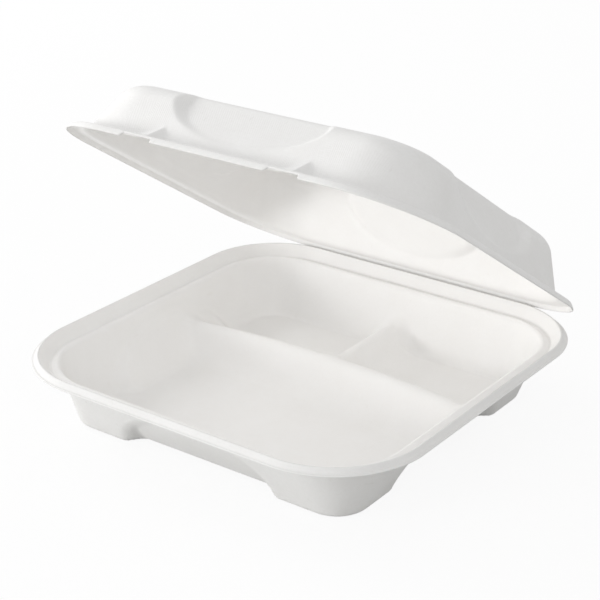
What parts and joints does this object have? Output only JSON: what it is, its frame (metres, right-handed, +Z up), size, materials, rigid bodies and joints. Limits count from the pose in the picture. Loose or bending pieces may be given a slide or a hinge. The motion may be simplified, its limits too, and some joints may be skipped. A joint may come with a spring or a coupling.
{
  "type": "clamshell food container",
  "caption": "Square moulded-pulp takeaway container with a divided tray and a domed lid on a rear crease; the lid folds down over the tray's rim.",
  "frame": {"origin": "centre of the brim's outline on the plane that the feet and the floor stand on", "axes": "+X to the right seen from the front, +Y from the front towards the hinge crease, +Z up"},
  "size_m": [0.229, 0.2251, 0.1724],
  "materials": {
    "pulp": "matt moulded plant fibre, white"
  },
  "bodies": {
    "base": {"base_tray": "pulp"},
    "lid": {"lid": "pulp"}
  },
  "joints": [
    {"name": "lid_hinge", "type": "hinge", "parent": "base", "child": "lid", "pos_m": [0, 0.1125, 0.03587], "axis": [-1, 0, 0], "range_deg": [-33.2, 146.8]}
  ]
}
